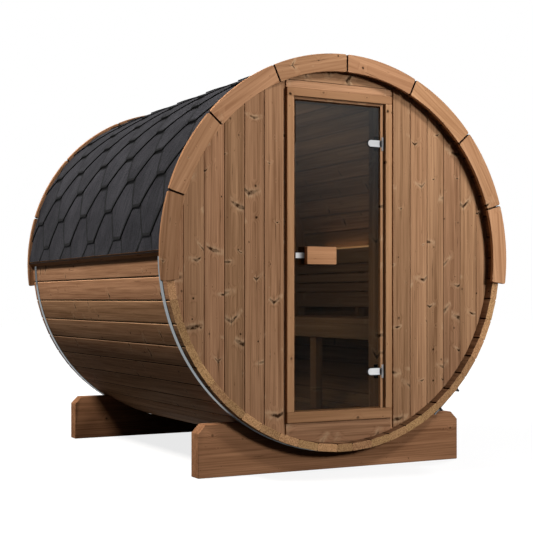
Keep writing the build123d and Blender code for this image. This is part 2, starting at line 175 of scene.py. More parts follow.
def woodFinish(name, look):
    finish, tree, shader = startFinish(name)
    place = addNode(tree, "ShaderNodeAttribute", attribute_name="grain").outputs["Vector"]
    tone = addNode(tree, "ShaderNodeAttribute", attribute_name="tone").outputs["Fac"]
    seed = scaled(tree, tone, grainForm["seedSpan"])
    parts = addNode(tree, "ShaderNodeSeparateXYZ", {0: place}).outputs
    wander = drift(tree, place, *grainForm["wander"], seed)
    sway = drift(tree, place, *grainForm["sway"], calc(tree, "ADD", seed, 3.0))
    ragged = scaled(tree, drift(tree, place, *grainForm["ragged"], seed), grainForm["raggedDeep"])

    # reach is below 1 inside a knot
    side = calc(tree, "ADD", parts[1], scaled(tree, sway, grainForm["swayWide"]))
    reach, crack, rim = None, None, None
    for knots in look["knots"]:
        nearest, split = knotReach(tree, parts[0], side, seed, knots)
        rim = nearest if knots["rimmed"] else rim
        reach = nearest if reach is None else calc(tree, "MINIMUM", reach, nearest)
        crack = split if crack is None else calc(tree, "MINIMUM", crack, split)
    reach = calc(tree, "ADD", reach, ragged)
    blotch = noise(tree, place, *grainForm["patch"], calc(tree, "ADD", seed, 5.0), detail=1.0)
    patch = ramp(tree, blotch, *grainForm["patchEdge"])
    arm = ramp(tree, reach, *grainForm["armEdge"])
    core = calc(tree, "MULTIPLY", ramp(tree, reach, *grainForm["coreEdge"]),
                ramp(tree, patch, 0, 1, *grainForm["patchCore"], smooth=False))
    halo = ramp(tree, reach, *grainForm["haloEdge"])

    # growth rings round a pith below the board, pushed aside by the knots
    ringSide = calc(tree, "ADD", parts[1], scaled(tree, wander, look["wander"]))
    ringDepth = calc(tree, "ADD", calc(tree, "ADD", parts[2], look["pith"]),
                     scaled(tree, parts[0], look["taper"]))
    ringPlace = addNode(tree, "ShaderNodeCombineXYZ", {1: ringSide, 2: ringDepth}).outputs[0]
    ringReach = addNode(tree, "ShaderNodeVectorMath", {0: ringPlace}, operation="LENGTH").outputs["Value"]
    pushed = calc(tree, "ADD", ringReach, scaled(tree, halo, grainForm["ringPush"]))
    turn = calc(tree, "FRACT", scaled(tree, pushed, look["ringsPerMetre"]))
    ring = calc(tree, "SUBTRACT", ramp(tree, turn, *grainForm["ringDarkens"]),
                ramp(tree, turn, *grainForm["ringEnds"]))

    # wide and fine streaks and fibres along the board
    streaks = look["streaksPerMetre"]
    broad = drift(tree, place, grainForm["broadAlong"], streaks, seed, detail=3.0)
    fine = drift(tree, place, grainForm["fineAlong"], streaks * grainForm["fineTimes"], seed)
    fibre = drift(tree, place, *grainForm["fibre"], seed)
    shade = calc(tree, "ADD", 0.5, scaled(tree, broad, look["broad"]))
    shade = calc(tree, "ADD", shade, scaled(tree, fine, look["fine"]))
    shade = calc(tree, "ADD", shade, scaled(tree, fibre, grainForm["fibreShows"]))
    shade = calc(tree, "SUBTRACT", shade, scaled(tree, ring, look["ring"]))
    body = blendColour(tree, shade, look["dark"], look["light"])
    lighter = scaled(tree, calc(tree, "SUBTRACT", tone, 0.5), look["toneSpread"])
    bright = calc(tree, "ADD", 1.0, lighter)
    hue = calc(tree, "ADD", grainForm["hue"], scaled(tree, calc(tree, "FRACT", seed), grainForm["hueSpread"]))
    colour = addNode(tree, "ShaderNodeHueSaturation", {"Color": body, "Value": bright, "Hue": hue}).outputs[0]
    if rim:
        rim = calc(tree, "ADD", rim, ragged)
        pale = calc(tree, "MULTIPLY", ramp(tree, rim, *grainForm["paleEdge"]),
                    ramp(tree, patch, 0, 1, *grainForm["patchPale"], smooth=False))
        colour = blendColour(tree, scaled(tree, pale, look["pale"]), colour, look["sapwood"])
    colour = blendColour(tree, scaled(tree, arm, grainForm["armShows"]), colour, look["knot"])
    colour = blendColour(tree, scaled(tree, core, look["knotDepth"]), colour, look["knot"])
    cracked = ramp(tree, crack, *grainForm["crackEdge"], 0.0, grainForm["crackShows"])
    colour = blendColour(tree, cracked, colour, look["knot"])
    tree.links.new(colour, shader.inputs["Base Color"])
    spread = grainForm["roughSpread"]
    dull = ramp(tree, shade, 0.0, 1.0, look["rough"] + spread, look["rough"] - spread)
    tree.links.new(dull, shader.inputs["Roughness"])
    shader.inputs["Specular IOR Level"].default_value = grainForm["specular"]
    height = calc(tree, "SUBTRACT", scaled(tree, fibre, grainForm["fibreHeight"]),
                  scaled(tree, ring, grainForm["ringHeight"]))
    height = calc(tree, "ADD", height, scaled(tree, core, grainForm["knotHeight"]))
    addBump(tree, shader, height, grainForm["bump"], grainForm["bumpDeep"])
    return finish


sawnForm = {
    "dark": paint(140, 104, 68), "light": paint(204, 161, 114), "speck": 190, "speckEdge": (0.28, 0.66),
    "ringsPerMetre": 190.0, "ringDarkens": (0.25, 0.85), "ringEnds": (0.88, 1.0), "ring": 0.3,
    "bright": (0.76, 1.16), "hue": (0.490, 0.502), "hueTurns": 17.0, "rough": 0.8, "bump": 0.5,
    "bumpDeep": 0.0008,
}


# sawn ends: rings and rough speckles
def endGrainFinish():
    finish, tree, shader = startFinish("sawnEnds")
    place = addNode(tree, "ShaderNodeAttribute", attribute_name="grain").outputs["Vector"]
    tone = addNode(tree, "ShaderNodeAttribute", attribute_name="tone").outputs["Fac"]
    parts = addNode(tree, "ShaderNodeSeparateXYZ", {0: place}).outputs
    seed = scaled(tree, tone, grainForm["seedSpan"])
    speck = noise(tree, place, sawnForm["speck"], sawnForm["speck"], seed, detail=3.0, rough=0.6)
    ringPlace = addNode(tree, "ShaderNodeCombineXYZ", {
        1: parts[1], 2: calc(tree, "ADD", parts[2], softwood["pith"]),
    }).outputs[0]
    ringReach = addNode(tree, "ShaderNodeVectorMath", {0: ringPlace}, operation="LENGTH").outputs["Value"]
    turn = calc(tree, "FRACT", scaled(tree, ringReach, sawnForm["ringsPerMetre"]))
    ring = calc(tree, "SUBTRACT", ramp(tree, turn, *sawnForm["ringDarkens"]),
                ramp(tree, turn, *sawnForm["ringEnds"]))
    rough = ramp(tree, speck, *sawnForm["speckEdge"])
    shade = calc(tree, "SUBTRACT", rough, scaled(tree, ring, sawnForm["ring"]))
    body = blendColour(tree, shade, sawnForm["dark"], sawnForm["light"])
    bright = ramp(tree, tone, 0, 1, *sawnForm["bright"], smooth=False)
    shift = calc(tree, "FRACT", scaled(tree, tone, sawnForm["hueTurns"]))
    hue = ramp(tree, shift, 0, 1, *sawnForm["hue"], smooth=False)
    colour = addNode(tree, "ShaderNodeHueSaturation", {"Color": body, "Value": bright, "Hue": hue}).outputs[0]
    tree.links.new(colour, shader.inputs["Base Color"])
    shader.inputs["Roughness"].default_value = sawnForm["rough"]
    shader.inputs["Specular IOR Level"].default_value = grainForm["specular"]
    addBump(tree, shader, shade, sawnForm["bump"], sawnForm["bumpDeep"])
    return finish


# spike knots with two arms, and small round ones
spikes = {"perMetre": (4.3, 8.2), "share": 0.75, "half": 0.054, "stout": 0.20, "rise": (0.0, 0.85),
          "skew": 0.38, "cracked": 0.66, "rimmed": True}
pins = {"perMetre": (7.0, 11.0), "share": 0.28, "half": 0.0080, "stout": 0.70, "rise": (0, 0.1),
        "skew": 0.1, "cracked": 0.9, "rimmed": False}
smallKnots = [{**spikes, "share": 0.35, "half": 0.028}, pins]
softwood = {
    "light": paint(194, 150, 113), "dark": paint(118, 83, 57), "knot": paint(44, 26, 15),
    "sapwood": paint(192, 160, 126), "knots": [spikes, pins], "knotDepth": 0.92, "pale": 0.5,
    "ringsPerMetre": 125, "ring": 0.16, "pith": 0.055, "taper": 0.006, "wander": 0.022,
    "streaksPerMetre": 34, "broad": 1.1, "fine": 0.85, "toneSpread": 0.24, "rough": 0.6,
}
wallWood = woodFinish("oiledWallBoards", {**softwood, "toneSpread": 0.32})
# darker wood in the joints: painted shade
jointPaintedShade = woodFinish("paintedJointShade", {
    **softwood, "light": paint(62, 42, 28), "dark": paint(34, 22, 14), "knots": [pins],
})
# lighter wood on the rims of the stave joints: painted highlight
paleEdge = woodFinish("paintedEdgeHighlight", {
    **softwood, "light": paint(212, 170, 130), "dark": paint(166, 124, 90), "knots": [pins],
})
# darker wood for the inner faces in the recesses at the ends and for the inner joints: painted shade
recessAndInnerJointShade = woodFinish("paintedShadeRecessAndInnerJoint", {
    **softwood, "light": paint(146, 108, 78), "dark": paint(86, 58, 39), "knots": [pins],
})
staveWood = woodFinish("oiledStaves", {
    **softwood, "toneSpread": 0.34, "streaksPerMetre": 26, "broad": 1.25, "pale": 0.3,
    "knots": [{**spikes, "share": 0.5, "half": 0.032, "stout": 0.30}, pins],
})
casingKnots = [{**pins, "perMetre": (6.4, 14.0), "share": 0.7, "half": 0.0095, "stout": 0.85}]
casingWood = woodFinish("planedCasing", {
    **softwood, "light": paint(194, 149, 111), "dark": paint(148, 107, 74), "knots": casingKnots,
})
crossCasingWood = woodFinish("planedCrossCasing", {
    **softwood, "light": paint(170, 128, 93), "dark": paint(128, 91, 62), "knots": casingKnots,
})
handleWood = woodFinish("planedHandle", {
    **softwood, "light": paint(190, 143, 105), "dark": paint(144, 102, 70),
    "knots": [{**pins, "share": 0.01}],
})
fasciaWood = woodFinish("planedFascia", {
    **softwood, "light": paint(195, 150, 112), "dark": paint(140, 100, 69), "knots": smallKnots,
    "streaksPerMetre": 26, "broad": 1.2, "ring": 0.18, "toneSpread": 0.40,
})
eaveWood = woodFinish("darkEave", {
    **softwood, "light": paint(196, 148, 106), "dark": paint(122, 84, 56), "knots": smallKnots,
})
cradleWood = woodFinish("stainedBeam", {
    **softwood, "light": paint(172, 127, 92), "dark": paint(104, 70, 46), "knots": [pins],
})
insideWood = woodFinish("insideBoards", {
    **softwood, "light": paint(168, 131, 100), "dark": paint(112, 82, 58), "knots": smallKnots,
})
sawnEnds = endGrainFinish()


mineralForm = {
    "dark": paint(20, 20, 23), "light": paint(58, 58, 62), "grit": 620.0, "gritShows": 0.35,
    "streak": (7, 170, 7), "streakShows": 0.65, "edge": (0.28, 0.72), "cloud": 7, "cloudEdge": (0.35, 0.65),
    "bright": (0.86, 1.14), "rough": 0.92, "specular": 0.1, "bump": 0.7, "bumpDeep": 0.0012,
}


def shingleFinish():
    finish, tree, shader = startFinish("mineralShingle")
    place = addNode(tree, "ShaderNodeTexCoord").outputs["Object"]
    tone = addNode(tree, "ShaderNodeAttribute", attribute_name="tone").outputs["Fac"]
    grit = addNode(tree, "ShaderNodeTexVoronoi", {"Vector": place, "Scale": mineralForm["grit"]})
    speck = addNode(tree, "ShaderNodeSeparateColor", {0: grit.outputs["Color"]}).outputs[0]
    downSlope = addNode(tree, "ShaderNodeVectorMath", {0: place, 1: mineralForm["streak"]},
                        operation="MULTIPLY").outputs[0]
    streak = addNode(tree, "ShaderNodeTexNoise", {"Vector": downSlope, "Scale": 1.0, "Detail": 3.0}).outputs[0]
    shade = calc(tree, "ADD", scaled(tree, speck, mineralForm["gritShows"]),
                 scaled(tree, streak, mineralForm["streakShows"]))
    depth = ramp(tree, shade, *mineralForm["edge"])
    body = blendColour(tree, depth, mineralForm["dark"], mineralForm["light"])
    blotch = noise(tree, place, mineralForm["cloud"], mineralForm["cloud"], 2.0)
    cloud = ramp(tree, blotch, *mineralForm["cloudEdge"], *mineralForm["bright"])
    bright = calc(tree, "MULTIPLY", ramp(tree, tone, 0.0, 1.0, *mineralForm["bright"], smooth=False), cloud)
    colour = addNode(tree, "ShaderNodeHueSaturation", {"Color": body, "Value": bright}).outputs[0]
    tree.links.new(colour, shader.inputs["Base Color"])
    shader.inputs["Roughness"].default_value = mineralForm["rough"]
    shader.inputs["Specular IOR Level"].default_value = mineralForm["specular"]
    addBump(tree, shader, shade, mineralForm["bump"], mineralForm["bumpDeep"])
    return finish


metalForm = {"darker": 0.72, "brushEdge": (0.2, 0.8), "bump": 0.15, "bumpDeep": 0.0003}


def metalFinish(name, colour, rough, grainAlong, grainAcross):
    finish, tree, shader = startFinish(name)
    place = addNode(tree, "ShaderNodeTexCoord").outputs["Object"]
    brush = noise(tree, place, grainAlong, grainAcross, 2.0, detail=3.0)
    darker = tuple(value * metalForm["darker"] for value in colour[:3]) + (1.0,)
    tree.links.new(blendColour(tree, brush, darker, colour), shader.inputs["Base Color"])
    tree.links.new(ramp(tree, brush, *metalForm["brushEdge"], *rough), shader.inputs["Roughness"])
    shader.inputs["Metallic"].default_value = 1.0
    addBump(tree, shader, brush, metalForm["bump"], metalForm["bumpDeep"])
    return finish


blackForm = {"cloud": 160, "cloudEdge": (0.2, 0.8), "rough": (0.65, 0.85), "specular": 0.1}


def blackFinish(name, dark, light):
    finish, tree, shader = startFinish(name)
    place = addNode(tree, "ShaderNodeTexCoord").outputs["Object"]
    cloud = noise(tree, place, blackForm["cloud"], blackForm["cloud"], 3.0)
    tree.links.new(blendColour(tree, cloud, dark, light), shader.inputs["Base Color"])
    tree.links.new(ramp(tree, cloud, *blackForm["cloudEdge"], *blackForm["rough"]), shader.inputs["Roughness"])
    shader.inputs["Specular IOR Level"].default_value = blackForm["specular"]
    return finish


# sheenLevels are heights between which the glass's index grows
glassForm = {"dark": paint(156, 165, 165), "light": paint(163, 172, 171), "cloud": 1.2, "specular": 0.1,
             "sheenLevels": (1.1, 1.85), "index": (1.12, 1.38)}


def glassFinish():
    finish, tree, shader = startFinish("bronzeGlass")
    place = addNode(tree, "ShaderNodeTexCoord").outputs["Object"]
    cloud = noise(tree, place, glassForm["cloud"], glassForm["cloud"], 4.0, detail=1.0)
    tint = blendColour(tree, cloud, glassForm["dark"], glassForm["light"])
    tree.links.new(tint, shader.inputs["Base Color"])
    shader.inputs["Transmission Weight"].default_value = 1.0
    shader.inputs["Roughness"].default_value = 0.0
    level = addNode(tree, "ShaderNodeSeparateXYZ", {0: place}).outputs[2]
    index = ramp(tree, level, *glassForm["sheenLevels"], *glassForm["index"], smooth=False)
    tree.links.new(index, shader.inputs["IOR"])
    shader.inputs["Specular IOR Level"].default_value = glassForm["specular"]
    return finish


glowForm = {"dim": paint(255, 176, 112), "full": paint(255, 196, 136), "cloud": 8, "strength": 0.42}


def lampFinish():
    finish, tree, shader = startFinish("warmLight")
    place = addNode(tree, "ShaderNodeTexCoord").outputs["Object"]
    cloud = noise(tree, place, glowForm["cloud"], glowForm["cloud"], 5.0, detail=1.0)
    glow = blendColour(tree, cloud, glowForm["dim"], glowForm["full"])
    tree.links.new(glow, shader.inputs["Base Color"])
    tree.links.new(glow, shader.inputs["Emission Color"])
    shader.inputs["Emission Strength"].default_value = glowForm["strength"]
    shader.inputs["Roughness"].default_value = 0.5
    return finish


shingleCover = shingleFinish()
bandSteel = metalFinish("galvanizedBand", paint(136, 143, 147), (0.34, 0.50), 60, 60)
hingeSteel = metalFinish("satinSteel", paint(224, 225, 226), (0.34, 0.48), 25, 380)
blackSteel = metalFinish("blackedSteel", paint(52, 52, 54), (0.38, 0.55), 70, 70)
blackGasketAndShade = blackFinish("blackGasketAndShade", paint(7, 7, 8), paint(18, 17, 17))
# black for the shingles' cut core, and painted shadow along the tab edges
bitumenCoreAndPaintedShadow = blackFinish("bitumenCoreAndPaintedShadow", paint(3, 3, 4), paint(11, 11, 11))
bronzeGlass = glassFinish()
warmLight = lampFinish()
print("finishes made:", len(bpy.data.materials))


# mesh helpers
mesh = {"merge": 0.00002, "flatDegrees": 0.4, "cutSnap": 0.00001, "square": 0.9}


def copyNode(name):
    bm = bmesh.new()
    bm.from_mesh(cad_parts[name].data)
    bmesh.ops.remove_doubles(bm, verts=bm.verts, dist=mesh["merge"])
    bmesh.ops.dissolve_limit(bm, angle_limit=math.radians(mesh["flatDegrees"]), verts=bm.verts, edges=bm.edges)
    return bm


# cuts a mesh along a plane and keeps both sides
def splitAt(bm, place, way):
    whole = bm.verts[:] + bm.edges[:] + bm.faces[:]
    bmesh.ops.bisect_plane(bm, geom=whole, dist=mesh["cutSnap"], plane_co=place, plane_no=way)


# clears what lies beyond a plane and closes the cut
def trimAt(bm, place, way):
    whole = bm.verts[:] + bm.edges[:] + bm.faces[:]
    cut = bmesh.ops.bisect_plane(bm, geom=whole, dist=mesh["cutSnap"], plane_co=place, plane_no=way,
                                 clear_outer=True)
    rim = [item for item in cut["geom_cut"] if isinstance(item, bmesh.types.BMEdge)]
    bmesh.ops.holes_fill(bm, edges=rim, sides=0)


def pour(target, source):
    scrap = bpy.data.meshes.new("scrap")
    source.to_mesh(scrap)
    source.free()
    target.from_mesh(scrap)
    bpy.data.meshes.remove(scrap)


def soften(bm, width, segments=2, sharp=28):
    edges = [edge for edge in bm.edges
             if len(edge.link_faces) == 2 and edge.calc_face_angle(0) > math.radians(sharp)]
    bmesh.ops.bevel(bm, geom=edges, offset=width, offset_type="OFFSET", affect="EDGES", segments=segments,
                    profile=0.5, material=-1, clamp_overlap=True)


# separate boards of a mesh, in a fixed order, each with its box
def boardsOf(bm):
    left = set(bm.verts)
    boards = []
    while left:
        front = [left.pop()]
        board = list(front)
        while front:
            vert = front.pop()
            for edge in vert.link_edges:
                other = edge.other_vert(vert)
                if other in left:
                    left.remove(other)
                    front.append(other)
                    board.append(other)
        low = Vector(min(vert.co[axis] for vert in board) for axis in range(3))
        high = Vector(max(vert.co[axis] for vert in board) for axis in range(3))
        boards.append((tuple(round(value, 4) for value in (*low, *high)), board, low, high))
    boards.sort(key=lambda entry: entry[0])
    return [entry[1:] for entry in boards]


def longestWay(low, high):
    size = high - low
    order = sorted(range(3), key=lambda axis: -size[axis])
    ways = [Vector((axis == 0, axis == 1, axis == 2)) for axis in order]
    return ways[0], ways[1]


def staveWay(low, high):
    spoke = ((low + high) / 2 - barrelAxis) * Vector((1, 0, 1))
    spoke.normalize()
    return Vector((0, 1, 0)), Vector((spoke.z, 0, -spoke.x))


def ringWay(low, high):
    spoke = ((low + high) / 2 - barrelAxis) * Vector((1, 0, 1))
    spoke.normalize()
    return Vector((spoke.z, 0, -spoke.x)), spoke


# each board gets its own grain place and tone, read by the wood finish
def layGrain(bm, seed, ways=longestWay):
    draw = random.Random(seed)
    grain = bm.verts.layers.float_vector.new("grain")
    tone = bm.verts.layers.float.new("tone")
    for board, low, high in boardsOf(bm):
        along, across = ways(low, high)
        depth = along.cross(across)
        middle = (low + high) / 2
        shade = draw.random()
        slide = draw.uniform(-3, 3)
        for vert in board:
            reach = vert.co - middle
            vert[grain] = (reach.dot(along) + slide, reach.dot(across), reach.dot(depth))
            vert[tone] = shade


def addPiece(name, bm, finishes, body, stands=(), sharp=24):
    data = bpy.data.meshes.new(name)
    bm.to_mesh(data)
    bm.free()
    for finish in finishes:
        data.materials.append(finish)
    for polygon in data.polygons:
        polygon.use_smooth = True
    data.set_sharp_from_angle(angle=math.radians(sharp))
    piece = bpy.data.objects.new(name, data)
    scene.collection.objects.link(piece)
    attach(piece, body)
    if stands:
        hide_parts(*stands)


# faces square to the grain show the sawn end
def markEnds(bm):
    bm.normal_update()
    for face in bm.faces:
        if abs(face.normal.y) > mesh["square"]:
            face.material_index = 1


# shape works on the bare solid, mark gives its finished faces other finishes
def dressNode(node, finish, edge, ways=longestWay, body="cabin", segments=2, seed=None, shape=None,
              mark=None, extras=()):
    bm = copyNode(node)
    if shape:
        shape(bm)
    soften(bm, edge, segments)
    layGrain(bm, seed or node, ways)
    if mark:
        mark(bm)
    addPiece(node + "_wood", bm, [finish, *extras], body, [node])


# keeps the slab of a panel between two planes and closes it
def cutBoard(panel, way, start, end):
    bm = panel.copy()
    trimAt(bm, way * start, -way)
    trimAt(bm, way * end, way)
    return bm


sheetShare = (0.99, 1, 0.99)


# boards of a panel; where tongue is given, a thinner sheet inside closes the joints
def boardPanel(node, finish, way, cuts, gap, edge, tongue=0):
    panel = copyNode(node)
    boards = bmesh.new()
    if tongue:
        low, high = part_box(node)
        sheet = cutBoard(panel, Vector((0, 1, 0)), low.y + tongue, high.y - tongue)
        middle = Matrix.Translation(-(low + high) / 2)
        bmesh.ops.scale(sheet, verts=sheet.verts, vec=sheetShare, space=middle)
        pour(boards, sheet)
    for start, end in zip(cuts, cuts[1:]):
        board = cutBoard(panel, way, start + gap / 2, end - gap / 2)
        if board.verts:
            soften(board, edge)
            pour(boards, board)
        else:
            board.free()
    panel.free()
    layGrain(boards, node)
    addPiece(node + "_boards", boards, [finish], "cabin", [node])


# cuts at a fixed pitch from one edge to past the other
def pitchCuts(start, end, pitch):
    count = math.ceil(abs(end - start) / pitch - 0.001)
    step = math.copysign(pitch, end - start)
    return sorted(start + step * index for index in range(count + 1))


# barrel: staves with grooves along their joints, outside and inside
stave = {"edge": 0.0008, "grooveWide": 0.0008, "grooveDeep": 0.0035, "grooveIn": 0.0042, "slim": 0.006,
         "flush": 0.0005, "inward": -0.7, "paleWide": 0.0022, "shortest": 0.02}
staveNodes = ["bottom_staves", "lower_left_staves", "lower_right_staves", "left_staves", "right_staves",
              "upper_left_staves", "top_staves", "upper_right_staves"]
wallFace = (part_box("front_wall_left")[0].y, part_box("rear_wall")[1].y)


def outOfRoom(face):
    middle = face.calc_center_median()
    return middle.y < wallFace[0] or middle.y > wallFace[1]


# long edges between two of the given verts
def longEdges(bm, ends):
    return [edge for edge in bm.edges if edge.verts[0] in ends and edge.verts[1] in ends
            and abs(edge.verts[0].co.y - edge.verts[1].co.y) > stave["shortest"]]


def chamferEdges(bm, edges, width):
    made = bmesh.ops.bevel(bm, geom=edges, offset=width, offset_type="OFFSET", affect="EDGES", segments=1,
                           profile=0.5, material=-1, clamp_overlap=False)
    return made["faces"]


# opens the joints: the outer chamfers grow, their rims get a painted highlight and the inner edges are
# chamfered;
# finishes are 1 sawn end, 2 joint, 3 recess and inner joint, both painted shade, 4 rim, a painted highlight
def openJoints(bm):
    for place in wallFace:
        splitAt(bm, (0, place, 0), (0, 1, 0))
    feet, shoulders, tops = set(), set(), set()
    for board, low, high in boardsOf(bm):
        along, across = staveWay(low, high)
        spoke = across.cross(along)
        middle = (low + high) / 2
        spans = [(vert, (vert.co - middle).dot(across), (vert.co - middle).dot(spoke)) for vert in board]
        top = max(rise for vert, side, rise in spans)
        foot = min(rise for vert, side, rise in spans)
        for vert, side, rise in spans:
            if rise > top - stave["flush"]:
                tops.add(vert)
                vert.co -= across * math.copysign(stave["grooveWide"], side)
            elif rise > top - stave["slim"]:
                vert.co -= spoke * stave["grooveDeep"]
                shoulders.add(vert)
            elif rise < foot + stave["flush"]:
                feet.add(vert)
    bm.normal_update()
    for face in bm.faces:
        kinds = [vert in tops for vert in face.verts]
        spoke = (face.calc_center_median() - barrelAxis) * Vector((1, 0, 1))
        if any(kinds) and not all(kinds) and all(vert in tops or vert in shoulders for vert in face.verts):
            face.material_index = 2
        # inner faces in the recesses at the barrel's ends get painted shade
        elif face.normal.dot(spoke.normalized()) < stave["inward"] and outOfRoom(face):
            face.material_index = 3
    inner = longEdges(bm, feet)
    for face in chamferEdges(bm, longEdges(bm, tops), stave["paleWide"]):
        face.material_index = 4
    for face in chamferEdges(bm, inner, stave["grooveIn"]):
        face.material_index = 2 if outOfRoom(face) else 3


for node in staveNodes:
    dressNode(node, staveWood, stave["edge"], staveWay, shape=openJoints, mark=markEnds,
              extras=[sawnEnds, jointPaintedShade, recessAndInnerJointShade, paleEdge])
print("staves dressed")

# fascia rings and eave boards
fascia = {"edge": 0.003, "eaveEdge": 0.0012, "footTall": 0.03, "rimArea": 0.0004, "seed": "fascia17244"}


# faces between two boards of a ring and their rounded rims are dark: painted shade in the joint
def shadeJoints(bm):
    bm.normal_update()
    joints = set()
    for board, low, high in boardsOf(bm):
        along = ringWay(low, high)[0]
        for face in {face for vert in board for face in vert.link_faces}:
            raised = face.calc_center_median().z > fasciaLow.z + fascia["footTall"]
            if raised and abs(face.normal.dot(along)) > mesh["square"]:
                joints.add(face)
    for strip in range(2):
        near = {other for face in joints for edge in face.edges for other in edge.link_faces}
        joints |= {face for face in near if face.calc_area() < fascia["rimArea"]}
    for face in joints:
        face.material_index = 1


for node in ("front_fascia", "rear_fascia"):
    dressNode(node, fasciaWood, fascia["edge"], ringWay, seed=fascia["seed"], mark=shadeJoints,
              extras=[jointPaintedShade])
for node in ("left_eave_board", "right_eave_board"):
    dressNode(node, eaveWood, fascia["eaveEdge"])
print("fascia and eave boards dressed")

# end walls: vertical boards beside the door, level boards over and under it
wall = {"pitch": 0.110, "gap": 0.0022, "edge": 0.003, "tongue": 0.010, "headerJoint": 0.040}
acrossX = Vector((1, 0, 0))
upZ = Vector((0, 0, 1))


def layWall(node, way, cuts):
    boardPanel(node, wallWood, way, cuts, wall["gap"], wall["edge"], wall["tongue"])


for node in ("front_wall_left", "front_wall_right"):
    low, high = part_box(node)
    inner, outer = (high.x, low.x) if high.x < 0 else (low.x, high.x)
    layWall(node, acrossX, pitchCuts(inner, outer, wall["pitch"]))
halfCount = math.ceil(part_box("rear_wall")[1].x / wall["pitch"] - 0.5)
rearCuts = [(index - 0.5) * wall["pitch"] for index in range(-halfCount, halfCount + 2)]
layWall("rear_wall", acrossX, rearCuts)
headLow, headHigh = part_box("front_wall_header")
headCuts = [headLow.z, headLow.z + wall["headerJoint"], headHigh.z]
layWall("front_wall_header", upZ, headCuts)
sillLow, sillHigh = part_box("front_wall_sill")
layWall("front_wall_sill", upZ, pitchCuts(sillHigh.z, sillLow.z, wall["pitch"]))
print("end walls boarded")

# door posts, head, threshold and casing
doorway = {"postEdge": 0.002, "casingEdge": 0.003}
for node in ("left_door_post", "right_door_post", "door_head", "door_threshold"):
    dressNode(node, wallWood, doorway["postEdge"])
for node in ("casing_left", "casing_right"):
    dressNode(node, casingWood, doorway["casingEdge"])
for node in ("casing_head", "casing_foot"):
    dressNode(node, crossCasingWood, doorway["casingEdge"])
print("doorway dressed")

# cradles
cradle = {"edge": 0.004}
for node in ("front_cradle", "rear_cradle"):
    dressNode(node, cradleWood, cradle["edge"])
print("cradles dressed")

# inside: floor boards on bearers, bench and slatted back
inside = {"floorPitch": 0.095, "seatPitch": 0.105, "gap": 0.002, "seatGap": 0.010, "edge": 0.003}
floorLow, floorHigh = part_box("floor_deck")
floorCount = math.ceil((floorHigh.x - floorLow.x) / inside["floorPitch"])
floorStart = (floorLow.x + floorHigh.x) / 2 - floorCount * inside["floorPitch"] / 2
floorCuts = [floorStart + index * inside["floorPitch"] for index in range(floorCount + 1)]
boardPanel("floor_deck", insideWood, acrossX, floorCuts, inside["gap"], inside["edge"])
seatLow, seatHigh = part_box("bench_seat")
seatCount = round((seatHigh.x - seatLow.x) / inside["seatPitch"])
seatStep = (seatHigh.x - seatLow.x) / seatCount
seatCuts = [seatLow.x + index * seatStep for index in range(seatCount + 1)]
boardPanel("bench_seat", insideWood, acrossX, seatCuts, inside["seatGap"], inside["edge"])
for node in ("floor_bearers", "bench_apron", "bench_legs", "backrest_slats", "backrest_posts"):
    dressNode(node, insideWood, inside["edge"])
print("inside dressed")

# slim light along the top of the slatted back
lightStrip = {"tall": 0.010, "thick": 0.010, "nearInset": 0.05, "farInset": 0.36, "edge": 0.002}
slatLow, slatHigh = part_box("backrest_slats")
bm = bmesh.new()
bmesh.ops.create_cube(bm, size=1)
stripStart = slatLow.y + lightStrip["nearInset"]
stripEnd = slatHigh.y - lightStrip["farInset"]
bmesh.ops.scale(bm, verts=bm.verts, vec=(lightStrip["thick"], stripEnd - stripStart, lightStrip["tall"]))
bmesh.ops.translate(bm, verts=bm.verts, vec=(
    slatLow.x + lightStrip["thick"] / 2, (stripStart + stripEnd) / 2, slatHigh.z + lightStrip["tall"] / 2))
soften(bm, lightStrip["edge"])
addPiece("backrest_light", bm, [warmLight], "cabin")
print("light strip set")

# roof: courses of hexagonal tabs laid from the eaves up, and a row of caps along the ridge
shingles = {
    "exposure": 0.1586, "period": 0.405, "flat": 0.100, "thick": 0.0055, "lowest": 1.509, "firstMiddle": 0.220,
    "radius": 1.0035, "measureRadius": 1.017, "courses": 10, "rowsPerHalf": 4, "eaveOver": 0.004,
    "rim": 0.0150, "flare": 0.0105, "flareLong": 0.10, "lip": 0.006, "upward": 0.5,
    "capWide": 0.300, "capStep": 0.165, "capLong": 0.250, "capLeast": 0.02, "capRows": 10, "capShadowRim": 0.006,
    "capLifts": 2.0, "capTilt": 0.9,
}
roofLow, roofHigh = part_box("roof_left")
eaveReach = shingles["measureRadius"] * math.acos((roofLow.z - axisHeight) / shingles["radius"])


# a flat sheet from its outline, cut into rows so that it can bend, with its thickness
def flatSheet(outline, rowLines, rim=0):
    bm = bmesh.new()
    bm.faces.new([bm.verts.new((across, down, 0)) for across, down in outline])
    for line in rowLines:
        splitAt(bm, (0, line, 0), (0, 1, 0))
    raised = bmesh.ops.extrude_face_region(bm, geom=bm.faces[:])
    tops = [item for item in raised["geom"] if isinstance(item, bmesh.types.BMVert)]
    bmesh.ops.translate(bm, verts=tops, vec=(0, 0, shingles["thick"]))
    bmesh.ops.recalc_face_normals(bm, faces=bm.faces)
    # with rim, a black band round the top faces is painted shadow along the tab edges
    if rim:
        upper = [face for face in bm.faces if face.normal.z > shingles["upward"]]
        border = bmesh.ops.inset_region(bm, faces=upper, thickness=rim, use_boundary=True,
                                        use_even_offset=True)
        for face in border["faces"]:
            face.material_index = 1
    markCuts(bm)
    return bm


# cut edges show the black core
def markCuts(bm):
    bm.normal_update()
    for face in bm.faces:
        if abs(face.normal.z) < shingles["upward"]:
            face.material_index = 1


def trimCourse(bm, place, way):
    trimAt(bm, place, way)
    markCuts(bm)


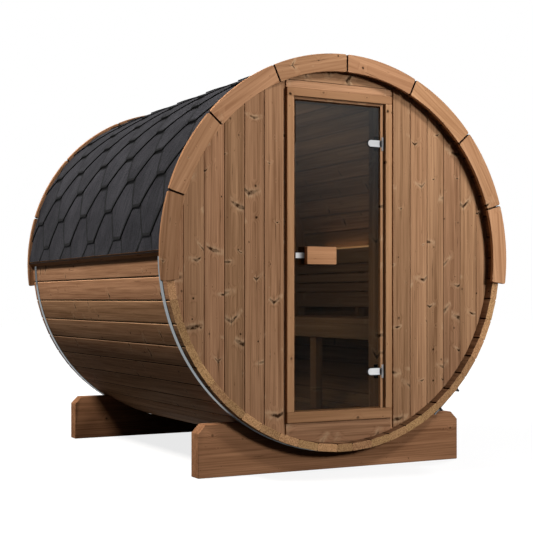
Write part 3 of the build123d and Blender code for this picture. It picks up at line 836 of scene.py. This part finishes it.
# bends a flat course round the barrel: across is Y, down is the way from the ridge, lift raises its lower
# edge; the last stretch flares out over the eave board
def bendCourse(bm, side, top, length, lift):
    for vert in bm.verts:
        along, down, up = vert.co
        angle = side * (top + down) / shingles["measureRadius"]
        flare = max(0, 1 - (eaveReach - top - down) / shingles["flareLong"])
        reach = shingles["radius"] + up + lift * down / length + shingles["flare"] * min(flare, 1) ** 2
        vert.co = (reach * math.sin(angle), along, axisHeight + reach * math.cos(angle))
    if side < 0:
        bmesh.ops.reverse_faces(bm, faces=bm.faces)


def layRoof(side, name, node):
    step = shingles["exposure"]
    half = shingles["period"] / 2
    flat = shingles["flat"] / 2
    tabOutline = [(-half, 0), (half, 0), (half, step), (half - flat, step), (flat, 2 * step),
                  (-flat, 2 * step), (flat - half, step), (-half, step)]
    rows = [step * index / shingles["rowsPerHalf"] for index in range(1, 2 * shingles["rowsPerHalf"])]
    tab = flatSheet(tabOutline, rows, shingles["rim"])
    tabMesh = bpy.data.meshes.new("tab")
    tab.to_mesh(tabMesh)
    tab.free()
    roof = bmesh.new()
    # straight starter course along the eave
    starterTop = eaveReach + shingles["eaveOver"] + shingles["lip"] - 2 * step
    starter = flatSheet([(roofLow.y, 0), (roofHigh.y, 0), (roofHigh.y, 2 * step), (roofLow.y, 2 * step)],
                        [*rows, 2 * step - shingles["lip"]])
    # the starter's lowest strip is black, a painted shadow line along the eave
    for face in starter.faces:
        if face.calc_center_median().y > 2 * step - shingles["lip"]:
            face.material_index = 1
    bendCourse(starter, side, starterTop, 2 * step, shingles["thick"])
    pour(roof, starter)
    for course in range(-1, shingles["courses"]):
        bottom = shingles["lowest"] - course * step
        shift = shingles["firstMiddle"] + (course % 2) * half
        strip = bmesh.new()
        middle = fasciaLow.y + shift - shingles["period"] * 2
        while middle < roofHigh.y + half:
            if middle > roofLow.y - half:
                known = len(strip.verts)
                strip.from_mesh(tabMesh)
                strip.verts.ensure_lookup_table()
                bmesh.ops.translate(strip, verts=strip.verts[known:], vec=(middle, 0, 0))
            middle += shingles["period"]
        trimCourse(strip, (roofLow.y, 0, 0), (-1, 0, 0))
        trimCourse(strip, (roofHigh.y, 0, 0), (1, 0, 0))
        if course < 0:
            trimCourse(strip, (0, eaveReach + shingles["eaveOver"] - bottom + 2 * step, 0), (0, 1, 0))
        bendCourse(strip, side, bottom - 2 * step, 2 * step, 2 * shingles["thick"])
        pour(roof, strip)
    # each slope stops at the ridge
    trimAt(roof, (0, 0, 0), (-side, 0, 0))
    bpy.data.meshes.remove(tabMesh)
    layGrain(roof, name)
    addPiece(name, roof, [shingleCover, bitumenCoreAndPaintedShadow], "cabin", [node])


layRoof(-1, "roof_left_shingles", "roof_left")
layRoof(1, "roof_right_shingles", "roof_right")

caps = bmesh.new()
capStart = roofLow.y
while capStart < roofHigh.y - shingles["capLeast"]:
    capEnd = min(capStart + shingles["capLong"], roofHigh.y)
    wide = shingles["capWide"]
    lines = [wide * index / shingles["capRows"] for index in range(1, shingles["capRows"])]
    # the caps' black rim is painted shadow too
    cap = flatSheet([(capStart, 0), (capEnd, 0), (capEnd, wide), (capStart, wide)], lines, shingles["capShadowRim"])
    for vert in cap.verts:
        tilt = shingles["capTilt"] * (capEnd - vert.co.x) / shingles["capLong"]
        vert.co.z += shingles["thick"] * (shingles["capLifts"] + tilt)
    bendCourse(cap, 1, -wide / 2, wide, 0)
    pour(caps, cap)
    capStart += shingles["capStep"]
layGrain(caps, "ridge")
addPiece("ridge_caps", caps, [shingleCover, bitumenCoreAndPaintedShadow], "cabin")
print("roof laid")

# steel bands round the barrel
band = {"steps": 240, "underRoof": 0.0026}


def spinBand(node):
    low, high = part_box(node)
    outer = (high.x - low.x) / 2
    inner = shingles["radius"] - band["underRoof"]
    bm = bmesh.new()
    section = [(inner, low.y), (outer, low.y), (outer, high.y), (inner, high.y)]
    corners = [bm.verts.new((across, along, axisHeight)) for across, along in section]
    rim = [bm.edges.new((corners[index], corners[(index + 1) % 4])) for index in range(4)]
    bmesh.ops.spin(bm, geom=corners + rim, cent=barrelAxis, axis=(0, 1, 0), angle=math.tau,
                   steps=band["steps"], use_merge=True)
    bmesh.ops.recalc_face_normals(bm, faces=bm.faces)
    addPiece(node + "_strap", bm, [bandSteel], "cabin", [node])


spinBand("front_band")
spinBand("rear_band")
print("bands spun")

# tensioner: two lugs on the band, joined by a threaded rod with nuts
tensioner = {"angle": 137.7, "lugApart": 0.150, "lugThick": 0.008, "lugTall": 0.044, "rodRise": 0.030,
             "rodRadius": 0.004, "rodSides": 24, "rodTail": 0.045, "rodHead": 0.016, "nutRadius": 0.0075,
             "nutThick": 0.0065, "nutSides": 6, "footLong": 0.030, "footThick": 0.004, "footSink": 0.25,
             "lugEdge": 0.0012, "rodEdge": 0.0005, "rodSharp": 50}


def addRod(bm, radius, start, end, sides):
    made = bmesh.ops.create_cone(bm, cap_ends=True, segments=sides, radius1=radius, radius2=radius,
                                 depth=end - start)
    bmesh.ops.rotate(bm, verts=made["verts"], cent=(0, 0, 0), matrix=Matrix.Rotation(math.pi / 2, 3, "Y"))
    bmesh.ops.translate(bm, verts=made["verts"], vec=((start + end) / 2, 0, 0))


def addBlock(bm, size, middle):
    made = bmesh.ops.create_cube(bm, size=1)
    bmesh.ops.scale(bm, verts=made["verts"], vec=size)
    bmesh.ops.translate(bm, verts=made["verts"], vec=middle)


def addTensioner(bandNode, node):
    low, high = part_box(bandNode)
    outer = (high.x - low.x) / 2
    wide = high.y - low.y
    turn = Matrix.Rotation(math.radians(tensioner["angle"]), 4, "Y")
    place = Matrix.Translation(Vector((0, (low.y + high.y) / 2, axisHeight))) @ turn
    half = tensioner["lugApart"] / 2
    # made flat, with X along the band and Z out from it, then turned into place
    dip = outer - math.sqrt(outer * outer - half * half)
    foot = outer - dip
    footMiddle = foot + tensioner["footThick"] / 2 - tensioner["footSink"] * dip
    lugs = bmesh.new()
    for side in (-1, 1):
        addBlock(lugs, (tensioner["lugThick"], wide, tensioner["lugTall"]),
                 (side * half, 0, foot + tensioner["lugTall"] / 2))
        addBlock(lugs, (tensioner["footLong"], wide, tensioner["footThick"]),
                 (side * (half + tensioner["footLong"] / 2), 0, footMiddle))
    soften(lugs, tensioner["lugEdge"])
    bmesh.ops.transform(lugs, matrix=place, verts=lugs.verts)
    addPiece(node + "_lugs", lugs, [blackSteel], "cabin", [node])
    rod = bmesh.new()
    addRod(rod, tensioner["rodRadius"], -half - tensioner["rodHead"], half + tensioner["rodTail"],
           tensioner["rodSides"])
    for side in (-1, 1):
        start = side * (half + tensioner["lugThick"] / 2)
        ends = sorted((start, start + side * tensioner["nutThick"]))
        addRod(rod, tensioner["nutRadius"], *ends, tensioner["nutSides"])
    bmesh.ops.translate(rod, verts=rod.verts, vec=(0, 0, foot + tensioner["rodRise"]))
    soften(rod, tensioner["rodEdge"], segments=1, sharp=tensioner["rodSharp"])
    bmesh.ops.transform(rod, matrix=place, verts=rod.verts)
    addPiece(node + "_rod", rod, [bandSteel], "cabin")


addTensioner("front_band", "front_band_tensioner")
addTensioner("rear_band", "rear_band_tensioner")
print("tensioners set")

# glass door with its hinges, handles and latch
door = {"glassEdge": 0.0012, "steelEdge": 0.0014, "steelSharp": 40, "handleEdge": 0.004,
        "knuckle": (0.2505, 0.2606)}
glass = copyNode("door_glass")
soften(glass, door["glassEdge"])
addPiece("door_glass_sheet", glass, [bronzeGlass], "door", ["door_glass"])
for node, body in (("hinge_plates", "cabin"), ("hinge_clamps", "door"), ("door_latch", "door")):
    bm = copyNode(node)
    soften(bm, door["steelEdge"], sharp=door["steelSharp"])
    # the knuckles between glass and plate are black: painted shade of the gap between clamp and plate
    for face in bm.faces:
        if door["knuckle"][0] < face.calc_center_median().x < door["knuckle"][1]:
            face.material_index = 1
    addPiece(node + "_steel", bm, [hingeSteel, blackSteel], body, [node])
for node in ("outer_handle", "inner_handle"):
    dressNode(node, handleWood, door["handleEdge"], body="door", segments=3)

# black sheets, part gasket and part painted shade: a round-ended one under each clamp, a leaf on the glass's
# inner face
blackSheet = {"round": 0.0045, "thick": 0.0012, "long": 0.069, "tall": 0.035, "leafWide": 0.027, "leafTall": 0.073,
        "sides": 40, "levels": (0.498, 1.6957)}
glassLow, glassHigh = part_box("door_glass")
blackSheets = bmesh.new()
for level in blackSheet["levels"]:
    radius = blackSheet["tall"] / 2 + blackSheet["round"]
    middle = glassHigh.x - blackSheet["long"] + blackSheet["tall"] / 2
    disc = bmesh.ops.create_cone(blackSheets, cap_ends=True, segments=blackSheet["sides"], radius1=radius, radius2=radius,
                                 depth=blackSheet["thick"])["verts"]
    bmesh.ops.rotate(blackSheets, verts=disc, cent=(0, 0, 0), matrix=Matrix.Rotation(math.pi / 2, 3, "X"))
    bmesh.ops.translate(blackSheets, verts=disc, vec=(middle, glassLow.y - blackSheet["thick"] / 2, level))
    addBlock(blackSheets, (glassHigh.x - middle, blackSheet["thick"], 2 * radius),
             ((middle + glassHigh.x) / 2, glassLow.y - blackSheet["thick"] / 2, level))
    addBlock(blackSheets, (blackSheet["leafWide"], blackSheet["thick"], blackSheet["leafTall"]),
             (glassHigh.x - blackSheet["leafWide"] / 2, glassHigh.y + blackSheet["thick"] / 2, level))
addPiece("hinge_gaskets_and_shade", blackSheets, [blackGasketAndShade], "door")
print("door hung")

# studio: pale floor, white surround and soft lamps
studio = {
    "floorHalf": 30.0, "floorSeen": 0.22, "floorBounce": 0.035, "glowNear": 0.80, "glowFar": 1.0,
    "glowStart": 2.0, "glowEnd": 4.5, "domeEdge": (0.1, 0.95), "zenith": 0.16,
}
floorMesh = bmesh.new()
bmesh.ops.create_grid(floorMesh, x_segments=1, y_segments=1, size=studio["floorHalf"])
floorData = bpy.data.meshes.new("studio_floor")
floorMesh.to_mesh(floorData)
floorMesh.free()
studioFloor = bpy.data.objects.new("studio_floor", floorData)
scene.collection.objects.link(studioFloor)


# 1 where the camera, a reflection or the glass looks, so that they see white
def seenRays(tree):
    rays = addNode(tree, "ShaderNodeLightPath").outputs
    mirrored = calc(tree, "MAXIMUM", rays["Is Glossy Ray"], rays["Is Transmission Ray"])
    direct = calc(tree, "LESS_THAN", rays["Diffuse Depth"], 0.5)
    return calc(tree, "MAXIMUM", rays["Is Camera Ray"], calc(tree, "MULTIPLY", mirrored, direct))


floorFinish, floorTree, floorShader = startFinish("paleFloor")
floorSeen = seenRays(floorTree)
floorShade = ramp(floorTree, floorSeen, 0, 1, studio["floorBounce"], studio["floorSeen"], smooth=False)
floorTree.links.new(floorShade, floorShader.inputs["Base Color"])
floorShader.inputs["Roughness"].default_value = 0.95
floorShader.inputs["Specular IOR Level"].default_value = 0.0
floorShader.inputs["Emission Color"].default_value = (1, 1, 1, 1)
floorPlace = addNode(floorTree, "ShaderNodeTexCoord").outputs["Object"]
away = addNode(floorTree, "ShaderNodeVectorMath", {0: floorPlace}, operation="LENGTH").outputs["Value"]
glow = ramp(floorTree, away, studio["glowStart"], studio["glowEnd"], studio["glowNear"], studio["glowFar"])
floorTree.links.new(calc(floorTree, "MULTIPLY", floorSeen, glow), floorShader.inputs["Emission Strength"])
floorData.materials.append(floorFinish)

world = bpy.data.worlds.new("studio")
scene.world = world
world.use_nodes = True
worldTree = world.node_tree
heading = addNode(worldTree, "ShaderNodeTexCoord").outputs["Generated"]
rise = addNode(worldTree, "ShaderNodeSeparateXYZ", {0: heading}).outputs[2]
dome = ramp(worldTree, rise, *studio["domeEdge"], 0.0, studio["zenith"])
surround = worldTree.nodes["Background"]
surround.inputs["Color"].default_value = (1, 1, 1, 1)
worldTree.links.new(calc(worldTree, "MAXIMUM", dome, seenRays(worldTree)), surround.inputs["Strength"])


# the strip's own light comes from behind the backrest and shines up the staves
stripLevel = slatHigh.z + lightStrip["tall"]
lamps = {
    "key_lamp": {"place": (1.3, -5.6, 2.0), "target": (0, -1, 1.1), "size": 0.7, "power": 130},
    "near_lamp": {"place": (1.0, -3.3, 2.9), "target": (0, -1, 1.3), "size": 0.5, "power": 48},
    "side_lamp": {"place": (-4.25, 0, 6.25), "target": (-0.8, 0, 1.1), "size": 1.0, "power": 640,
                  "tint": (1.0, 0.95, 0.9)},
    "rear_lamp": {"place": (1.2, 5.8, 2.6), "target": (0, 1, 1.1), "size": 1.0, "power": 110},
    "right_lamp": {"place": (4.6, 1.4, 4.6), "target": (0.8, 0.2, 1.2), "size": 1.0, "power": 170},
    "cabin_lamp": {"place": (-0.1, 0, 1.4), "target": (0.3, 0, 2.0), "size": 0.6, "power": 1.25},
    "bench_lamp": {"place": (-0.55, -0.55, 1.2), "target": (0.3, 0.2, 0.2), "size": 0.6, "power": 4.9,
                   "tint": (1.0, 0.88, 0.74)},
    "strip_lamp": {"place": (0.922, 0, stripLevel), "target": (0.95, 0, stripLevel + 0.05), "size": 1.4,
                   "slim": 0.02, "power": 0.36, "tint": (1.0, 0.64, 0.42)},
}
for name, lamp in lamps.items():
    lampData = bpy.data.lights.new(name, "AREA")
    lampData.shape = "RECTANGLE"
    lampData.size = lamp["size"]
    lampData.size_y = lamp.get("slim", lamp["size"])
    lampData.energy = lamp["power"]
    lampData.color = lamp.get("tint", (1, 1, 1))
    holder = bpy.data.objects.new(name, lampData)
    aim = Vector(lamp["target"]) - Vector(lamp["place"])
    holder.location = lamp["place"]
    holder.rotation_euler = aim.to_track_quat("-Z", "Y").to_euler()
    # glass and metal show the white surround instead of the lamps
    holder.visible_camera = False
    holder.visible_glossy = False
    holder.visible_transmission = False
    scene.collection.objects.link(holder)
print("studio lit")

# camera at the photograph's viewing angle
view = {"place": (-3.14496, -6.15651, 0.8766), "heading": -27.86, "lens": 78.72, "sensor": 36, "rise": 0.0618}
cameraData = bpy.data.cameras.new("photo_camera")
cameraData.lens = view["lens"]
cameraData.sensor_width = view["sensor"]
cameraData.shift_y = view["rise"]
camera = bpy.data.objects.new("photo_camera", cameraData)
camera.location = view["place"]
camera.rotation_euler = (math.radians(90), 0, math.radians(view["heading"]))
scene.collection.objects.link(camera)
scene.camera = camera
scene.view_settings.view_transform = "Standard"
